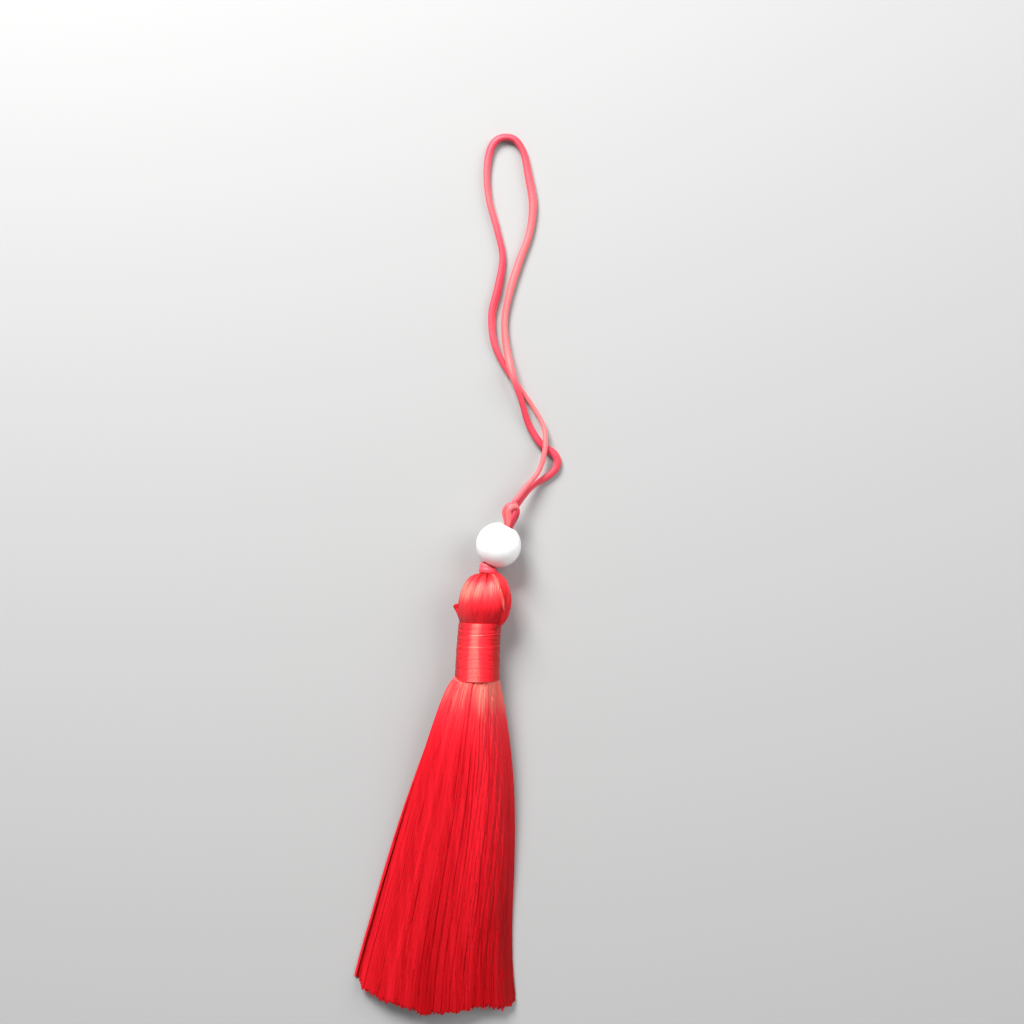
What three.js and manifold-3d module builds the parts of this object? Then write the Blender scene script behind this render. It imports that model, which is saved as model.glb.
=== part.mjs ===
// A beaded silk tassel that lies on a table. From the top: a loop of satin cord, an overhand knot
// in the doubled cord, a round bead, a cord tie, a hank of silk gathered into a round head, a wound
// binding round its neck, and a flat fan of cut threads.
// Millimetres. +X runs across the tassel, +Y up it to the loop, +Z up from the table. The origin
// is on the table, under the middle of the neck binding.

import * as THREE from "three";
import { mergeVertices } from "three/addons/utils/BufferGeometryUtils.js";
import Module from "manifold-3d";

const wasm = await Module();
wasm.setup();

// Driving dimensions
const clearance = 0.3; // between one piece and the next
const finest = 0.005; // corners closer than this, where two forms are joined, become one
const seam = 1e-5; // corners closer than this, in one form, are the same corner
const goldenTurn = Math.PI * (3 - Math.sqrt(5));

const cord = { diameter: 1.5, sides: 8, steps: 60 };
const stem = { radius: 1.15, sides: 10, steps: 3 }; // the doubled cord, pressed into the bead's hole

const bead = {
  centre: new THREE.Vector3(4.42, 23.37, 5),
  diameter: 10,
  length: 9.2, // from mouth to mouth
  bore: 3.2,
  turn: THREE.MathUtils.degToRad(28), // of its hole, clockwise from +Y
  segments: 26,
  arcSteps: 12,
};

const knot = {
  centre: new THREE.Vector3(7.3, 30.45, 4.4),
  axis: new THREE.Vector3(0.28, 0.94, -0.16).normalize(),
  strand: 0.58, // radius of each strand
  sides: 6,
  steps: 14,
  core: new THREE.Vector3(1.15, 1.7, 1.25), // half sizes of what the strands close round
  coreRows: 8,
  shoulder: 0.9, // where the cord's ends leave the core, along the axis
  stub: 0.6, // the straight end of each outlet
};

const tie = {
  strand: 0.5, // radius of the wound cord
  lower: { centre: new THREE.Vector3(2.05, 17.93, 5), tilt: 0.06, radius: 1.31 },
  upper: { fromBead: 5.45, radius: 1.25 },
  sides: 8,
  segments: 20,
};

const neck = { radius: 3.3, height: 4.45, collar: 4.6, collarDepth: 0.5, coneEnd: -11 };

const binding = {
  top: 6.6,
  bottom: -6.4,
  radius: 4.75, // at its top
  footRadius: 4.9,
  edge: 0.3, // of the rounding at both ends
  bands: 6,
  groove: 0.12,
  segments: 32,
};

const head = {
  top: 17.05,
  bottom: 6.9,
  segments: 40,
  pleats: 10,
  pleatDepth: 0.13, // as a share of the radius, at the tie
  pleatEnd: 10, // where the pleats have faded out
  pleatStart: 16.5, // and where they are deepest
  fullness: 0.03, // how much wider the head is on its right side
};

const skirt = {
  rootY: -7.1,
  fullWidthY: -78.3,
  rootRadius: 4.35, // of the disc of roots
  rootThread: 0.2, // a lock's radius at its root
  endThread: 0.44, // and at its cut end
  pitchAcross: 0.92,
  pitchUp: 0.78,
  settling: 1.25, // how much sooner a lock comes down to its row than it reaches its place across
  ragged: 0.9, // most that one cut end stands past another
  crowding: 1.7, // how much closer together a lock's cross-sections are near its root
  sides: 3,
  segments: 4,
};

const fold = { sides: 10, twistSides: 6, tuftSides: 4 };

// The fan's left and right edges on the table, from the neck to the cut end.
const fan = [
  { y: -82, left: -29.5, right: 8.4 },
  { y: skirt.fullWidthY, left: -28.6, right: 8.1 },
  { y: -70.7, left: -26.7, right: 7.45 },
  { y: -62, left: -24.1, right: 7.35 },
  { y: -48.8, left: -20.4, right: 7.8 },
  { y: -35.5, left: -16.3, right: 7.9 },
  { y: -25.6, left: -13, right: 7.35 },
  { y: -15, left: -9.6, right: 6.1 },
  { y: -10.2, left: -7.7, right: 5.25 },
  { y: skirt.rootY, left: -5.5, right: 4.35 },
];

// The height of the skirt's ridge along its length.
const skirtTop = [
  { y: -82, z: 4.5 },
  { y: skirt.fullWidthY, z: 4.6 },
  { y: -60, z: 5.3 },
  { y: -42, z: 6.6 },
  { y: -28, z: 8.1 },
  { y: -18, z: 9.2 },
  { y: -13, z: 9.5 },
  { y: -10, z: 9.4 },
  { y: skirt.rootY, z: 8.8 },
];

// The centre line of the hank: how far it leans to the right and how high it lies at each height.
const hankLine = [
  { y: -82, x: -0.4, z: 4.45 },
  { y: -6.4, x: -0.29, z: 4.45 },
  { y: 6.6, x: 0.44, z: 4.45 },
  { y: 9.5, x: 1.1, z: 5.1 },
  { y: 12, x: 1.38, z: 5.35 },
  { y: 18, x: 1.95, z: 5 },
];

// The gathered head's outline, from the dimple under the tie down to the binding.
const headOutline = [
  { radius: 1.6, y: 17.05 },
  { radius: 2.7, y: 16.85 },
  { radius: 3.7, y: 16.25 },
  { radius: 4.6, y: 15.2 },
  { radius: 5.2, y: 13.8 },
  { radius: 5.55, y: 12.1 },
  { radius: 5.65, y: 10.4 },
  { radius: 5.4, y: 8.9 },
  { radius: 5.05, y: 7.8 },
  { radius: 4.6, y: 7.0 },
];

// The rows of threads at the cut end, from the table up: the share of the full width that each
// row fills, and how much shorter it is cut than the top one.
const threadRows = [
  { width: 1, shorter: 2.4 },
  { width: 0.99, shorter: 1.4 },
  { width: 0.95, shorter: 0.7 },
  { width: 0.86, shorter: 0.3 },
  { width: 0.7, shorter: 0 },
  { width: 0.46, shorter: 0 },
];

// Where the threads are cut, from the left edge (-1) to the right edge (1).
const cutLine = [
  { across: -1, y: -75.6 },
  { across: -0.9, y: -76.6 },
  { across: -0.55, y: -78.2 },
  { across: -0.1, y: -80.6 },
  { across: 0.1, y: -80.4 },
  { across: 0.6, y: -79.5 },
  { across: 1, y: -80.6 },
];

// The stray lock that lies apart from the rest, along the fan's left edge.
const strayLock = [
  { x: -4.2, y: -7.3, z: 3.4, radius: 0.3 },
  { x: -9.0, y: -15, z: 2.2, radius: 0.31 },
  { x: -13.1, y: -25.6, z: 1.2, radius: 0.32 },
  { x: -16.9, y: -35.5, z: 0.5, radius: 0.33 },
  { x: -21.2, y: -48.8, z: 0.2, radius: 0.34 },
  { x: -24.0, y: -58.8, z: 0.2, radius: 0.35 },
  { x: -26.7, y: -67.9, z: 0.2, radius: 0.35 },
  { x: -28.3, y: -73.7, z: 0.2, radius: 0.36 },
];

// The fold of silk down the head's right side.
const shoulderFold = [
  { x: 3.3, y: 16.6, z: 5.9, radius: 0.7 },
  { x: 4.4, y: 15.8, z: 6.5, radius: 1.1 },
  { x: 5.3, y: 14, z: 7.0, radius: 1.4 },
  { x: 5.7, y: 11.6, z: 7.0, radius: 1.5 },
  { x: 5.55, y: 9.2, z: 6.7, radius: 1.35 },
  { x: 5.1, y: 7.2, z: 6.4, radius: 0.9 },
];

// A twisted lock that lies over the surface where the fold begins.
const twistedLock = [
  { x: 3.2, y: 16.7, z: 7.3, radius: 0.4 },
  { x: 3.9, y: 15.9, z: 8.2, radius: 0.55 },
  { x: 4.5, y: 14.2, z: 9.05, radius: 0.6 },
  { x: 5.0, y: 12.6, z: 9.35, radius: 0.6 },
  { x: 5.45, y: 11.0, z: 9.1, radius: 0.5 },
  { x: 5.6, y: 9.4, z: 8.4, radius: 0.4 },
];

// Short ends that stick out of the head's left side, just above the binding.
const tufts = [
  { from: [-2.6, 9.2, 5.9], to: [-5.7, 9.6, 5.8], root: 0.7, tip: 0.22 },
  { from: [-2.6, 8.6, 5.4], to: [-5.3, 8.6, 5.2], root: 0.7, tip: 0.22 },
  { from: [-2.6, 7.9, 4.8], to: [-4.8, 7.7, 4.7], root: 0.6, tip: 0.22 },
];

// The knot's four turns of cord, each from the bead up and round.
const knotStrands = [
  [
    [6.5, 26.9, 4.7], [6.4, 28.1, 5.3], [5.95, 29.5, 5.7], [5.8, 30.9, 5.9],
    [6.45, 32.0, 6.1], [7.4, 32.35, 6.0], [8.2, 32.1, 5.2], [8.5, 31.4, 4.2],
  ],
  [
    [6.7, 26.9, 5.3], [6.8, 28.3, 6.0], [6.8, 29.6, 6.5], [6.65, 30.8, 6.8],
    [7.1, 31.6, 6.9], [7.8, 31.9, 6.4], [8.3, 31.6, 5.4], [8.4, 30.9, 4.4],
  ],
  [
    [6.8, 26.9, 4.8], [7.5, 28.2, 5.1], [8.15, 29.4, 5.4], [8.55, 30.6, 5.5],
    [8.4, 31.5, 5.3], [7.7, 32.0, 4.6], [6.9, 31.9, 3.8], [6.2, 31.0, 3.3],
  ],
  [
    [6.75, 26.9, 5.2], [7.25, 28.3, 6.0], [7.7, 29.5, 6.4], [7.85, 30.5, 6.3],
    [7.5, 31.2, 6.0], [6.9, 31.5, 5.1], [6.2, 31.1, 4.5], [6.0, 30.1, 4.2],
  ],
];

// The loop's route, from the knot's lower outlet round the loop and back to its upper outlet. It
// crosses over itself twice, each time in a long low hump.
const cordRoute = [
  [8.95, 32.75, 3.35],
  [9.86, 34.0, 2.95],
  [11.16, 35.6, 2.25],
  [12.62, 36.95, 1.5],
  [14.32, 38.0, 0.95],
  [15.95, 39.1, 0.78],
  [17.3, 40.6, 0.78],
  [17.6, 42.3, 0.78],
  [16.75, 43.85, 0.78],
  [15.22, 44.95, 0.78],
  [13.76, 46.15, 0.78],
  [11.18, 50.3, 0.8],
  [9.49, 55.6, 1.8],
  [7.81, 60.5, 2.66],
  [6.24, 67.0, 1.3],
  [5.72, 73.4, 0.78],
  [6.91, 80.2, 0.78],
  [9.05, 86.9, 0.78],
  [11.29, 93.2, 0.78],
  [12.08, 99.7, 0.78],
  [11.07, 106.4, 0.78],
  [9.7, 112.1, 0.78],
  [7.7, 114.5, 0.78],
  [4.9, 114.65, 0.78],
  [3.0, 113.0, 0.78],
  [1.81, 108.0, 0.78],
  [2.15, 101.3, 0.78],
  [3.94, 94.5, 0.78],
  [5.27, 88.0, 0.78],
  [4.33, 81.3, 0.78],
  [2.9, 75.0, 0.78],
  [3.32, 68.9, 0.78],
  [5.67, 63.5, 0.78],
  [8.93, 58.8, 0.78],
  [12.19, 54.2, 0.8],
  [14.53, 49.6, 1.6],
  [14.74, 44.6, 2.72],
  [13.38, 39.9, 3.0],
  [10.5, 36.3, 3.85],
  [8.25, 33.4, 4.95],
];

const silkRed = new THREE.MeshStandardMaterial({ color: 0xd8141f, roughness: 0.45, metalness: 0 });
const bindingRed = new THREE.MeshStandardMaterial({ color: 0xdf2a2f, roughness: 0.38, metalness: 0 });
const cordRed = new THREE.MeshStandardMaterial({ color: 0xd93a45, roughness: 0.4, metalness: 0 });
const beadWhite = new THREE.MeshStandardMaterial({ color: 0xf4f3f0, roughness: 0.22, metalness: 0 });

// The value of one column of a table at a place in another, by straight lines between its rows.
function between(rows, key, at, column) {
  let next = rows.findIndex((row) => row[key] >= at);
  if (next === -1) next = rows.length - 1;
  if (next === 0) next = 1;
  const a = rows[next - 1];
  const b = rows[next];
  const part = THREE.MathUtils.clamp((at - a[key]) / (b[key] - a[key]), 0, 1);
  return THREE.MathUtils.lerp(a[column], b[column], part);
}

// A number from 0 to 1 that looks random, and is the same each time for the same whole number.
function scatter(index) {
  const value = Math.sin(index * 127.1 + 311.7) * 43758.5453;
  return value - Math.floor(value);
}

// Moves every corner of a geometry by a function that changes the point it is given.
function moveCorners(geometry, move) {
  const corners = geometry.attributes.position;
  const point = new THREE.Vector3();
  for (let index = 0; index < corners.count; index++) {
    point.fromBufferAttribute(corners, index);
    move(point);
    corners.setXYZ(index, point.x, point.y, point.z);
  }
  return geometry;
}

// Lays a form turned about the Y axis along the hank's centre line, flat where it meets the table.
function layAlongHank(geometry) {
  return moveCorners(geometry, (point) => {
    point.x += between(hankLine, "y", point.y, "x");
    point.z = Math.max(point.z + between(hankLine, "y", point.y, "z"), 0);
  });
}

// A closed solid from a geometry, with only its corners kept.
function solidOf(geometry) {
  const plain = geometry.clone();
  plain.deleteAttribute("normal");
  plain.deleteAttribute("uv");
  const merged = mergeVertices(plain, seam);
  return new wasm.Manifold(
    new wasm.Mesh({
      numProp: 3,
      vertProperties: new Float32Array(merged.attributes.position.array),
      triVerts: new Uint32Array(merged.index.array),
    })
  );
}

function joined(geometries) {
  let whole = solidOf(geometries[0]);
  for (const geometry of geometries.slice(1)) whole = whole.add(solidOf(geometry));
  return whole;
}

function geometryOf(solid) {
  const mesh = solid.simplify(finest).getMesh();
  const geometry = new THREE.BufferGeometry();
  geometry.setAttribute("position", new THREE.BufferAttribute(mesh.vertProperties, 3));
  geometry.setIndex(new THREE.BufferAttribute(mesh.triVerts, 1));
  return geometry;
}

function named(name, geometry, material) {
  const mesh = new THREE.Mesh(geometry, material);
  mesh.name = name;
  return mesh;
}

// A round tube with flat ends along a smooth curve through the points.
function tube(points, radius, sides, steps) {
  const section = new THREE.Shape();
  for (let side = 0; side < sides; side++) {
    const angle = ((side + 0.5) / sides) * Math.PI * 2;
    const corner = [Math.cos(angle) * radius, Math.sin(angle) * radius];
    if (side === 0) section.moveTo(...corner);
    else section.lineTo(...corner);
  }
  section.closePath();
  return new THREE.ExtrudeGeometry(section, {
    steps,
    bevelEnabled: false,
    extrudePath: new THREE.CatmullRomCurve3(points),
  });
}

// A lock laid along a path that gives its place and radius from its root (0) to its tip (1),
// further down the tassel. With three sides it has its flat side down. Its cross-sections stay
// square to Y, so locks side by side keep their distance.
function lock(path, sides, segments) {
  return moveCorners(new THREE.CylinderGeometry(1, 1, 1, sides, segments), (point) => {
    const { x, y, z, radius } = path(point.y + 0.5);
    point.set(x - point.x * radius, y, z + point.z * radius);
  });
}

function loopCord() {
  const route = cordRoute.map((point) => new THREE.Vector3(...point));
  return named("loop_cord", tube(route, cord.diameter / 2, cord.sides, cord.steps), cordRed);
}

// The bead is a sphere turned about its hole, with a flat at each mouth.
function beadRing() {
  const half = bead.length / 2;
  const radius = bead.diameter / 2;
  const widest = Math.acos(half / radius);
  const outline = [];
  for (let step = 0; step <= bead.arcSteps; step++) {
    const angle = THREE.MathUtils.lerp(Math.PI - widest, widest, step / bead.arcSteps);
    outline.push(new THREE.Vector2(Math.sin(angle) * radius, Math.cos(angle) * radius));
  }
  outline.push(new THREE.Vector2(bead.bore / 2, half));
  outline.push(new THREE.Vector2(bead.bore / 2, -half));
  outline.push(outline[0].clone());
  const mesh = named("bead", new THREE.LatheGeometry(outline, bead.segments), beadWhite);
  mesh.rotation.z = -bead.turn;
  mesh.position.copy(bead.centre);
  return mesh;
}

const beadAxis = new THREE.Vector3(Math.sin(bead.turn), Math.cos(bead.turn), 0);
const alongBead = (distance) => bead.centre.clone().addScaledVector(beadAxis, distance);

// Turns a form's own +Y towards a direction.
function turnTo(geometry, direction) {
  const plainUp = new THREE.Vector3(0, 1, 0);
  return geometry.applyQuaternion(new THREE.Quaternion().setFromUnitVectors(plainUp, direction));
}

// The overhand knot: the doubled cord comes up out of the bead, spreads into four strands that
// close over a core, and leaves as the two ends that meet the loop.
function upperKnot() {
  const strands = knotStrands.map((route) => {
    const points = route.map((point) => new THREE.Vector3(...point));
    return tube(points, knot.strand, knot.sides, knot.steps);
  });
  const core = new THREE.SphereGeometry(1, stem.sides, knot.coreRows);
  core.scale(...knot.core.toArray());
  turnTo(core, knot.axis).translate(...knot.centre.toArray());
  const mouth = alongBead(bead.length / 2 + clearance);
  const run = [alongBead(clearance / 2), mouth, knot.centre];
  const down = tube(run, stem.radius, stem.sides, stem.steps);
  const outlets = [cordRoute[0], cordRoute.at(-1)].map((end, index) => {
    const ahead = new THREE.Vector3(...cordRoute.at(index === 0 ? 1 : -2));
    const back = new THREE.Vector3(...end).sub(ahead).normalize();
    const tip = new THREE.Vector3(...end).addScaledVector(back, clearance);
    const inside = knot.centre.clone().addScaledVector(knot.axis, knot.shoulder);
    const bend = tip.clone().addScaledVector(back, knot.stub);
    return tube([inside, bend, tip], cord.diameter / 2, cord.sides, stem.steps);
  });
  return named("upper_knot", geometryOf(joined([core, down, ...strands, ...outlets])), cordRed);
}

// The tie is two turns of cord: the lower one square to the head, the upper one square to the bead.
function topTie() {
  const turns = [
    tie.lower,
    { centre: alongBead(-tie.upper.fromBead), tilt: bead.turn, radius: tie.upper.radius },
  ];
  const rings = turns.map((turn) => {
    const ring = new THREE.TorusGeometry(turn.radius, tie.strand, tie.sides, tie.segments);
    ring.rotateX(Math.PI / 2);
    ring.rotateZ(-turn.tilt);
    ring.translate(...turn.centre.toArray());
    return ring;
  });
  const run = [alongBead(-tie.upper.fromBead), alongBead(-clearance / 2)];
  const rise = tube(run, stem.radius, stem.sides, 1);
  return named("top_tie", geometryOf(joined([rise, ...rings])), cordRed);
}

// A wound sleeve round the neck: shallow bands of winding, rounded at both edges and a little wider
// at its foot.
function neckBinding() {
  const inner = (neck.radius + clearance) / Math.cos(Math.PI / binding.segments);
  const outline = [
    new THREE.Vector2(inner, binding.bottom),
    new THREE.Vector2(binding.footRadius - binding.edge, binding.bottom),
  ];
  const steps = binding.bands * 2;
  for (let step = 0; step <= steps; step++) {
    const share = step / steps;
    const y = THREE.MathUtils.lerp(binding.bottom + binding.edge, binding.top - binding.edge, share);
    const radius = THREE.MathUtils.lerp(binding.footRadius, binding.radius, share);
    const grooveHere = step % 2 === 0 ? binding.groove : 0;
    outline.push(new THREE.Vector2(radius - grooveHere, y));
  }
  outline.push(new THREE.Vector2(binding.radius - binding.edge, binding.top));
  outline.push(new THREE.Vector2(inner, binding.top));
  outline.push(outline[0].clone());
  const sleeve = layAlongHank(new THREE.LatheGeometry(outline, binding.segments));
  return named("neck_binding", sleeve, bindingRed);
}

// The head, the neck inside the binding and the collar that the threads grow from, in one turned
// form. Pleats run down from the tie and fade out at the head's widest part.
function hankBody() {
  const outline = [
    new THREE.Vector2(0, neck.coneEnd),
    new THREE.Vector2(neck.collar, skirt.rootY - neck.collarDepth),
    new THREE.Vector2(neck.collar, binding.bottom - clearance),
    new THREE.Vector2(neck.radius, binding.bottom - clearance),
    new THREE.Vector2(neck.radius, binding.bottom),
    new THREE.Vector2(neck.radius, binding.top),
    new THREE.Vector2(neck.radius, head.bottom),
  ];
  for (const row of [...headOutline].reverse()) outline.push(new THREE.Vector2(row.radius, row.y));
  outline.push(new THREE.Vector2(0, head.top));
  const body = new THREE.LatheGeometry(outline, head.segments);
  moveCorners(body, (point) => {
    if (point.y < head.bottom + finest || Math.hypot(point.x, point.z) < finest) return;
    const angle = Math.atan2(point.z, point.x);
    const fade = THREE.MathUtils.smoothstep(point.y, head.pleatEnd, head.pleatStart);
    const pleat = Math.cos(angle * head.pleats) * head.pleatDepth * fade;
    const growth = 1 + pleat + head.fullness * Math.cos(angle) * (1 - fade);
    point.x *= growth;
    point.z *= growth;
  });
  return layAlongHank(body);
}

// Roots spread evenly over a disc, as the seeds of a sunflower are.
function rootPoints(count) {
  const points = [];
  for (let index = 0; index < count; index++) {
    const radius = skirt.rootRadius * Math.sqrt((index + 0.5) / count);
    const angle = index * goldenTurn;
    points.push({ x: radius * Math.cos(angle), z: neck.height + radius * Math.sin(angle) });
  }
  return points;
}

// The fan's middle and half its width at a height along the tassel.
function fanAt(y) {
  const left = between(fan, "y", y, "left");
  const right = between(fan, "y", y, "right");
  return { middle: (left + right) / 2, half: (right - left) / 2 };
}

const rootFan = fanAt(skirt.rootY);
const endFan = fanAt(skirt.fullWidthY);
const lowestRow = skirt.endThread / 2; // the height of its locks' middles at the cut end

// Cut ends in level rows, each row shifted by half a pitch from the one under it.
function endPoints() {
  const points = [];
  threadRows.forEach((row, level) => {
    const half = (endFan.half - skirt.endThread) * row.width;
    const count = Math.floor((2 * half) / skirt.pitchAcross);
    for (let index = 0; index <= count; index++) {
      const x = (index - count / 2) * skirt.pitchAcross;
      points.push({ x, z: lowestRow + level * skirt.pitchUp, level });
    }
  });
  return points;
}

// Two threads trade their ends wherever that lets them run more nearly side by side, until no
// pair is left that would cross.
function matchEnds(roots, ends) {
  let traded = true;
  while (traded) {
    traded = false;
    for (let a = 0; a < roots.length; a++) {
      for (let b = a + 1; b < roots.length; b++) {
        const across = (roots[a].x - roots[b].x) * (ends[a].x - ends[b].x);
        const up = (roots[a].z - roots[b].z) * (ends[a].z - ends[b].z);
        if (across + up < -seam) {
          [ends[a], ends[b]] = [ends[b], ends[a]];
          traded = true;
        }
      }
    }
  }
}

// The skirt: each lock runs from its root to its end as the fan opens, and settles into its row
// before its cut end. The higher a lock starts, the more it follows the skirt's ridge line.
function skirtLocks() {
  const ends = endPoints();
  const roots = rootPoints(ends.length);
  matchEnds(roots, ends);
  const rootTop = neck.height + skirt.rootRadius;
  const endTop = lowestRow + (threadRows.length - 1) * skirt.pitchUp + skirt.endThread;
  return roots.map((root, index) => {
    const end = ends[index];
    const cut = between(cutLine, "across", end.x / endFan.half, "y");
    const tipY = cut + threadRows[end.level].shorter + (scatter(index) - 0.5) * skirt.ragged;
    const rank = (root.z - neck.height + skirt.rootRadius) / (2 * skirt.rootRadius);
    return lock((share) => {
      const along = Math.pow(share, skirt.crowding);
      const y = THREE.MathUtils.lerp(skirt.rootY, tipY, along);
      const here = fanAt(y);
      const open = (here.half - rootFan.half) / (endFan.half - rootFan.half);
      const settled = Math.min(1, open * skirt.settling);
      const radius = THREE.MathUtils.lerp(skirt.rootThread, skirt.endThread, along);
      const lift = between(skirtTop, "y", y, "z") - THREE.MathUtils.lerp(rootTop, endTop, settled);
      const z = THREE.MathUtils.lerp(root.z, end.z, settled) + rank * Math.max(lift, 0);
      const x = here.middle + THREE.MathUtils.lerp(root.x, end.x, open);
      return { x, y, z: Math.max(z, radius / 2), radius };
    }, skirt.sides, skirt.segments);
  });
}

// A single lock through the places of a table, with its radius at each of them.
function lockThrough(rows, sides) {
  const curve = new THREE.CatmullRomCurve3(rows.map((row) => new THREE.Vector3(row.x, row.y, row.z)));
  const steps = rows.map((row, index) => ({ share: index / (rows.length - 1), radius: row.radius }));
  return lock((share) => {
    const { x, y, z } = curve.getPoint(share);
    return { x, y, z, radius: between(steps, "share", share, "radius") };
  }, sides, rows.length);
}

// A short tapered end of silk, with four sides.
function tuftSpike(tuft) {
  const from = new THREE.Vector3(...tuft.from);
  const to = new THREE.Vector3(...tuft.to);
  const length = from.distanceTo(to);
  const spike = new THREE.CylinderGeometry(tuft.tip, tuft.root, length, fold.tuftSides, 1);
  const middle = from.clone().add(to).divideScalar(2);
  return turnTo(spike, to.clone().sub(from).normalize()).translate(...middle.toArray());
}

function tasselSilk() {
  const singles = [
    lockThrough(strayLock, skirt.sides),
    lockThrough(shoulderFold, fold.sides),
    lockThrough(twistedLock, fold.twistSides),
  ];
  const solid = joined([hankBody(), ...skirtLocks(), ...singles, ...tufts.map(tuftSpike)]);
  return named("tassel_silk", geometryOf(solid), silkRed);
}

const tassel = new THREE.Group();
tassel.add(loopCord(), upperKnot(), beadRing(), topTie(), tasselSilk(), neckBinding());

export default tassel;
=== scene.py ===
"""The look of a beaded silk tassel that lies on a table: a satin cord loop, a knot, a glazed bead,
a cord tie, a gathered silk head, a wound neck and a fan of cut threads. All sizes are in metres.
"""

import math

import bpy
import numpy as np
from bpy.props import FloatProperty, FloatVectorProperty, IntProperty, PointerProperty
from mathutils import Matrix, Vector


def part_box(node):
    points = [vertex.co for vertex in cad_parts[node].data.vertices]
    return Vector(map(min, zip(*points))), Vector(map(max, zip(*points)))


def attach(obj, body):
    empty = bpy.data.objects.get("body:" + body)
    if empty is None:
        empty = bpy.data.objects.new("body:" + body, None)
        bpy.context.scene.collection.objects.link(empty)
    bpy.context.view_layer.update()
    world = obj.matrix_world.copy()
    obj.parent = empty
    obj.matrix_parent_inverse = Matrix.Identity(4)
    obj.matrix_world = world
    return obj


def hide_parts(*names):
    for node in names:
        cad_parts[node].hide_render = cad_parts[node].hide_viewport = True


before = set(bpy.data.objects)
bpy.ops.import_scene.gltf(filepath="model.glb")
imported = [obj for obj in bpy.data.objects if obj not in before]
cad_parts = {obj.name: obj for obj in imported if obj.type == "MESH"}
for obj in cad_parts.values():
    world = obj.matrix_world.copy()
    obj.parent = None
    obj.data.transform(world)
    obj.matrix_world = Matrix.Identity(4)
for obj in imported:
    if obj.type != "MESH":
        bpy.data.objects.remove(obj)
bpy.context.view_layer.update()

bl_info = {
    "name": "Beaded silk tassel",
    "version": (1, 0, 0),
    "blender": (4, 5, 0),
    "location": "3D View > Sidebar > Tassel",
    "description": "Makes the threads, cord and bead of a silk tassel around its packed model",
    "category": "Add Mesh",
}

MM = 0.001
BEAD_LOW, BEAD_HIGH = (np.array(corner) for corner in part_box("bead"))
BINDING_LOW, BINDING_HIGH = (np.array(corner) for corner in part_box("neck_binding"))
UP = np.array([0.0, 0.0, 1.0])
FULL_TURN = 2 * math.pi
GOLDEN_TURN = math.pi * (3 - math.sqrt(5))

BEAD_CENTRE = np.array([4.42, 23.37, 5.0]) * MM
BEAD_TURN = math.radians(28)
BEAD_AXIS = np.array([math.sin(BEAD_TURN), math.cos(BEAD_TURN), 0.0])

KNOT_CENTRE = np.array([7.3, 30.45, 4.4]) * MM
KNOT_AXIS = np.array([0.28, 0.94, -0.16]) / np.linalg.norm([0.28, 0.94, -0.16])

# The loop's route, from the knot round the loop and back to the knot.
CORD_ROUTE = np.array([
    (0.00895, 0.03275, 0.00335),
    (0.00986, 0.03400, 0.00295),
    (0.01116, 0.03560, 0.00225),
    (0.01262, 0.03695, 0.00150),
    (0.01432, 0.03800, 0.00095),
    (0.01595, 0.03910, 0.00078),
    (0.01730, 0.04060, 0.00078),
    (0.01760, 0.04230, 0.00078),
    (0.01675, 0.04385, 0.00078),
    (0.01522, 0.04495, 0.00078),
    (0.01376, 0.04615, 0.00078),
    (0.01118, 0.05030, 0.00080),
    (0.00949, 0.05560, 0.00180),
    (0.00781, 0.06050, 0.00266),
    (0.00624, 0.06700, 0.00130),
    (0.00572, 0.07340, 0.00078),
    (0.00691, 0.08020, 0.00078),
    (0.00905, 0.08690, 0.00078),
    (0.01129, 0.09320, 0.00078),
    (0.01208, 0.09970, 0.00078),
    (0.01107, 0.10640, 0.00078),
    (0.00970, 0.11210, 0.00078),
    (0.00770, 0.11450, 0.00078),
    (0.00490, 0.11465, 0.00078),
    (0.00300, 0.11300, 0.00078),
    (0.00181, 0.10800, 0.00078),
    (0.00215, 0.10130, 0.00078),
    (0.00394, 0.09450, 0.00078),
    (0.00527, 0.08800, 0.00078),
    (0.00433, 0.08130, 0.00078),
    (0.00290, 0.07500, 0.00078),
    (0.00332, 0.06890, 0.00078),
    (0.00567, 0.06350, 0.00078),
    (0.00893, 0.05880, 0.00078),
    (0.01219, 0.05420, 0.00080),
    (0.01453, 0.04960, 0.00160),
    (0.01474, 0.04460, 0.00272),
    (0.01338, 0.03990, 0.00300),
    (0.01050, 0.03630, 0.00385),
    (0.00825, 0.03340, 0.00495),
])

# Tables in millimetres, a column for each name.
CORD_WIDTHS = {  # half the cord's width on its flat side, along its length
    "along": [0, 5, 10, 15, 22, 30, 45, 62, 80, 95, 105, 118, 128, 138, 148, 156, 176, 184],
    "half": [
        0.60, 0.62, 0.84, 0.95, 0.80, 0.74, 0.84, 0.88, 0.92, 0.84, 0.86, 0.74, 0.86, 0.84,
        0.72, 0.58, 0.56, 0.60,
    ],
}
CORD_PAINTED_LIGHT = {  # painted sheen and shade along the cord: how light the satin is drawn at each place, darker where it rolls off its flat side
    "along": [0, 8, 14, 22, 30, 36, 46, 70, 84, 90, 97, 103, 112, 122, 130, 140, 147, 152, 184],
    "tone": [
        0.55, 0.4, 0.25, 0.2, 0.25, 0.75, 0.85, 0.8, 0.5, 0.2, 0.3, 0.6, 0.65, 0.3, 0.2, 0.5, 0.35,
        0.7, 0.75,
    ],
}
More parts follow.
